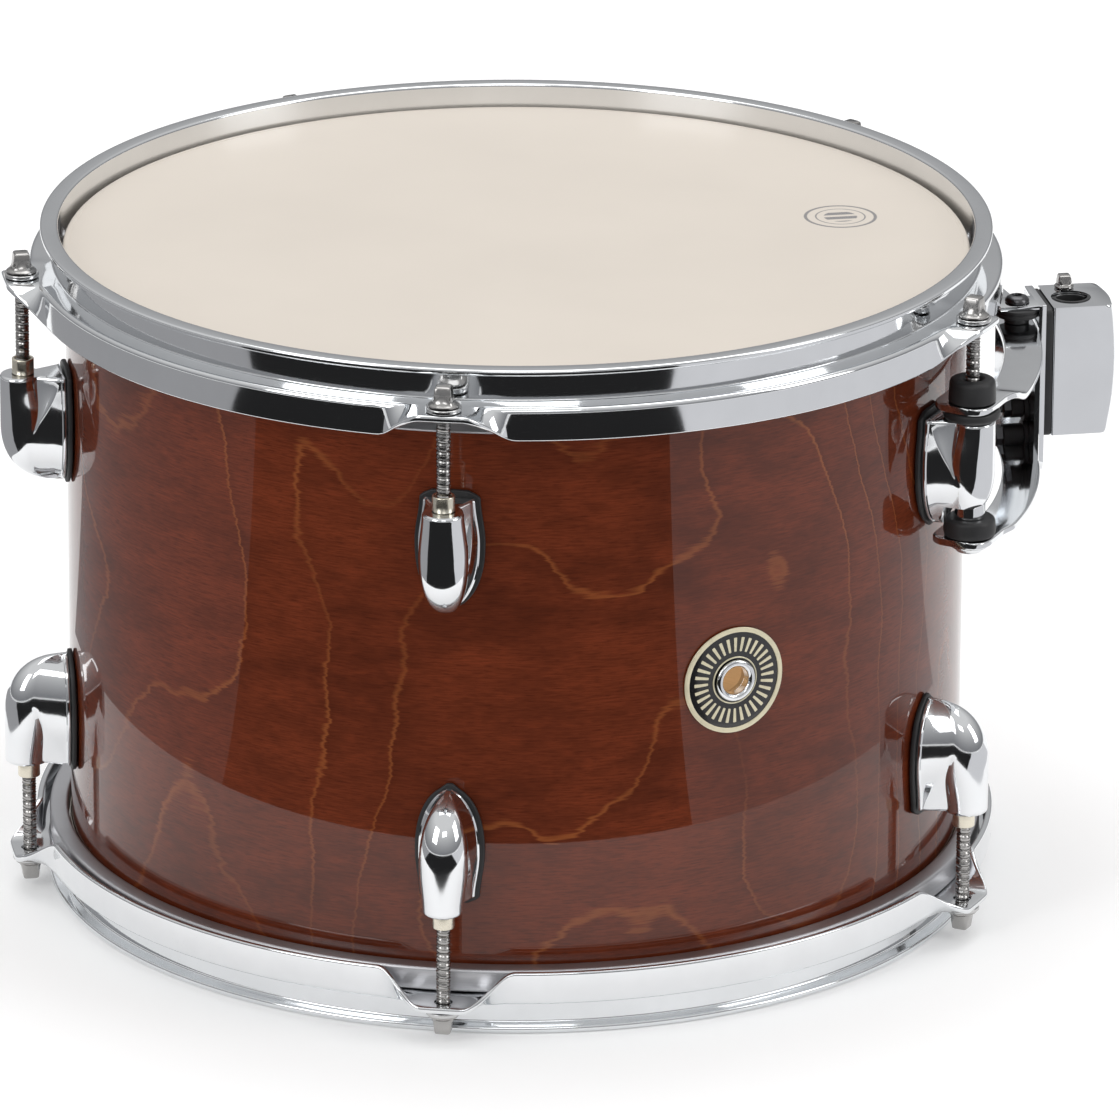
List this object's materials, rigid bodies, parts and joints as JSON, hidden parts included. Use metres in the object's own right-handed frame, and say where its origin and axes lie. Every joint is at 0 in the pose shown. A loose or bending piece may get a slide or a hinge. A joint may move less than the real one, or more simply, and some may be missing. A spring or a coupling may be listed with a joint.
{
  "type": "tom drum",
  "caption": "Double-headed rack tom with a lacquered wooden shell, metal counterhoops, tension rods in bullet-shaped lugs and a rubber-isolated side bracket for a tom arm.",
  "frame": {"origin": "centre of the batter head's striking face", "axes": "+Z out of the batter head along the drum's axis, +X from the drum's axis towards the suspension mount"},
  "size_m": [0.4104, 0.36, 0.2463],
  "materials": {
    "lacquered_maple": "reddish-brown stained maple under a gloss clear coat",
    "head_film": "coated ivory-white polyester film",
    "chrome": "bright chrome plate",
    "aluminium": "satin rolled aluminium",
    "nickel_rod": "nickel-plated steel",
    "nut_brass": "nickel-washed brass",
    "black_rubber": "matte black moulded rubber",
    "badge_enamel": "black enamelled plate with a plain pale rim",
    "clamp_liner": "black nylon"
  },
  "bodies": {
    "shell_body": {"shell": "lacquered_maple", "badge": "badge_enamel", "vent_grommet": "chrome", "suspension_plate": "chrome", "receiver_plate": "chrome", "receiver_block": "chrome", "mount_screw_front": "chrome", "mount_screw_rear": "chrome", "upper_mount_grommet_front": "black_rubber", "upper_mount_grommet_rear": "black_rubber", "lower_mount_grommet_front": "black_rubber", "lower_mount_grommet_rear": "black_rubber", "batter_lug_1": "chrome", "batter_lug_gasket_1": "black_rubber", "batter_swivel_nut_1": "nut_brass", "batter_lug_2": "chrome", "batter_lug_gasket_2": "black_rubber", "batter_swivel_nut_2": "nut_brass", "batter_lug_3": "chrome", "batter_lug_gasket_3": "black_rubber", "batter_swivel_nut_3": "nut_brass", "batter_lug_4": "chrome", "batter_lug_gasket_4": "black_rubber", "batter_swivel_nut_4": "nut_brass", "batter_lug_5": "chrome", "batter_lug_gasket_5": "black_rubber", "batter_swivel_nut_5": "nut_brass", "resonant_lug_1": "chrome", "resonant_lug_gasket_1": "black_rubber", "resonant_swivel_nut_1": "nut_brass", "resonant_lug_2": "chrome", "resonant_lug_gasket_2": "black_rubber", "resonant_swivel_nut_2": "nut_brass", "resonant_lug_3": "chrome", "resonant_lug_gasket_3": "black_rubber", "resonant_swivel_nut_3": "nut_brass", "resonant_lug_4": "chrome", "resonant_lug_gasket_4": "black_rubber", "resonant_swivel_nut_4": "nut_brass", "resonant_lug_5": "chrome", "resonant_lug_gasket_5": "black_rubber", "resonant_swivel_nut_5": "nut_brass"},
    "batter_rim": {"batter_hoop": "chrome", "batter_flesh_hoop": "aluminium", "batter_head": "head_film"},
    "resonant_rim": {"resonant_hoop": "chrome", "resonant_flesh_hoop": "aluminium", "resonant_head": "head_film"},
    "batter_rod_1": {"batter_tension_rod_1": "nickel_rod"},
    "batter_rod_2": {"batter_tension_rod_2": "nickel_rod"},
    "batter_rod_3": {"batter_tension_rod_3": "nickel_rod"},
    "batter_rod_4": {"batter_tension_rod_4": "nickel_rod"},
    "batter_rod_5": {"batter_tension_rod_5": "nickel_rod"},
    "resonant_rod_1": {"resonant_tension_rod_1": "nickel_rod"},
    "resonant_rod_2": {"resonant_tension_rod_2": "nickel_rod"},
    "resonant_rod_3": {"resonant_tension_rod_3": "nickel_rod"},
    "resonant_rod_4": {"resonant_tension_rod_4": "nickel_rod"},
    "resonant_rod_5": {"resonant_tension_rod_5": "nickel_rod"},
    "arm_key_bolt": {"clamp_bolt": "nickel_rod"},
    "arm_jaw": {"clamp_jaw": "clamp_liner"}
  },
  "joints": [
    {"name": "batter_rim_lift", "type": "slide", "parent": "shell_body", "child": "batter_rim", "axis": [0, 0, 1], "range_m": [0, 0.00794]},
    {"name": "batter_rod_1_turn", "type": "hinge", "parent": "batter_rim", "child": "batter_rod_1", "pos_m": [0.14538, 0.10562, 0], "axis": [0, 0, 1], "range_deg": [0, 2700]},
    {"name": "batter_rod_2_turn", "type": "hinge", "parent": "batter_rim", "child": "batter_rod_2", "pos_m": [-0.05553, 0.17091, 0], "axis": [0, 0, 1], "range_deg": [0, 2700]},
    {"name": "batter_rod_3_turn", "type": "hinge", "parent": "batter_rim", "child": "batter_rod_3", "pos_m": [-0.1797, 0, 0], "axis": [0, 0, 1], "range_deg": [0, 2700]},
    {"name": "batter_rod_4_turn", "type": "hinge", "parent": "batter_rim", "child": "batter_rod_4", "pos_m": [-0.05553, -0.17091, 0], "axis": [0, 0, 1], "range_deg": [0, 2700]},
    {"name": "batter_rod_5_turn", "type": "hinge", "parent": "batter_rim", "child": "batter_rod_5", "pos_m": [0.14538, -0.10562, 0], "axis": [0, 0, 1], "range_deg": [0, 2700]},
    {"name": "resonant_rim_lift", "type": "slide", "parent": "shell_body", "child": "resonant_rim", "axis": [0, 0, -1], "range_m": [0, 0.00794]},
    {"name": "resonant_rod_1_turn", "type": "hinge", "parent": "resonant_rim", "child": "resonant_rod_1", "pos_m": [0.14538, 0.10562, -0.23], "axis": [0, 0, -1], "range_deg": [0, 2700]},
    {"name": "resonant_rod_2_turn", "type": "hinge", "parent": "resonant_rim", "child": "resonant_rod_2", "pos_m": [-0.05553, 0.17091, -0.23], "axis": [0, 0, -1], "range_deg": [0, 2700]},
    {"name": "resonant_rod_3_turn", "type": "hinge", "parent": "resonant_rim", "child": "resonant_rod_3", "pos_m": [-0.1797, 0, -0.23], "axis": [0, 0, -1], "range_deg": [0, 2700]},
    {"name": "resonant_rod_4_turn", "type": "hinge", "parent": "resonant_rim", "child": "resonant_rod_4", "pos_m": [-0.05553, -0.17091, -0.23], "axis": [0, 0, -1], "range_deg": [0, 2700]},
    {"name": "resonant_rod_5_turn", "type": "hinge", "parent": "resonant_rim", "child": "resonant_rod_5", "pos_m": [0.14538, -0.10562, -0.23], "axis": [0, 0, -1], "range_deg": [0, 2700]},
    {"name": "arm_key_bolt_turn", "type": "hinge", "parent": "shell_body", "child": "arm_key_bolt", "pos_m": [0.2057, 0.0107, -0.0325], "axis": [0, 0, 1], "range_deg": [0, 540]},
    {"name": "arm_jaw_slide", "type": "slide", "parent": "shell_body", "child": "arm_jaw", "axis": [0, -1, 0], "range_m": [0, 0.0012]}
  ],
  "couplings": [
    {"joint": "batter_rod_1_turn", "follows": "batter_rim_lift", "rad_per_m": 5936.9},
    {"joint": "batter_rod_2_turn", "follows": "batter_rim_lift", "rad_per_m": 5936.9},
    {"joint": "batter_rod_3_turn", "follows": "batter_rim_lift", "rad_per_m": 5936.9},
    {"joint": "batter_rod_4_turn", "follows": "batter_rim_lift", "rad_per_m": 5936.9},
    {"joint": "batter_rod_5_turn", "follows": "batter_rim_lift", "rad_per_m": 5936.9},
    {"joint": "resonant_rod_1_turn", "follows": "resonant_rim_lift", "rad_per_m": 5936.9},
    {"joint": "resonant_rod_2_turn", "follows": "resonant_rim_lift", "rad_per_m": 5936.9},
    {"joint": "resonant_rod_3_turn", "follows": "resonant_rim_lift", "rad_per_m": 5936.9},
    {"joint": "resonant_rod_4_turn", "follows": "resonant_rim_lift", "rad_per_m": 5936.9},
    {"joint": "resonant_rod_5_turn", "follows": "resonant_rim_lift", "rad_per_m": 5936.9},
    {"joint": "arm_key_bolt_turn", "follows": "arm_jaw_slide", "rad_per_m": 7874}
  ]
}
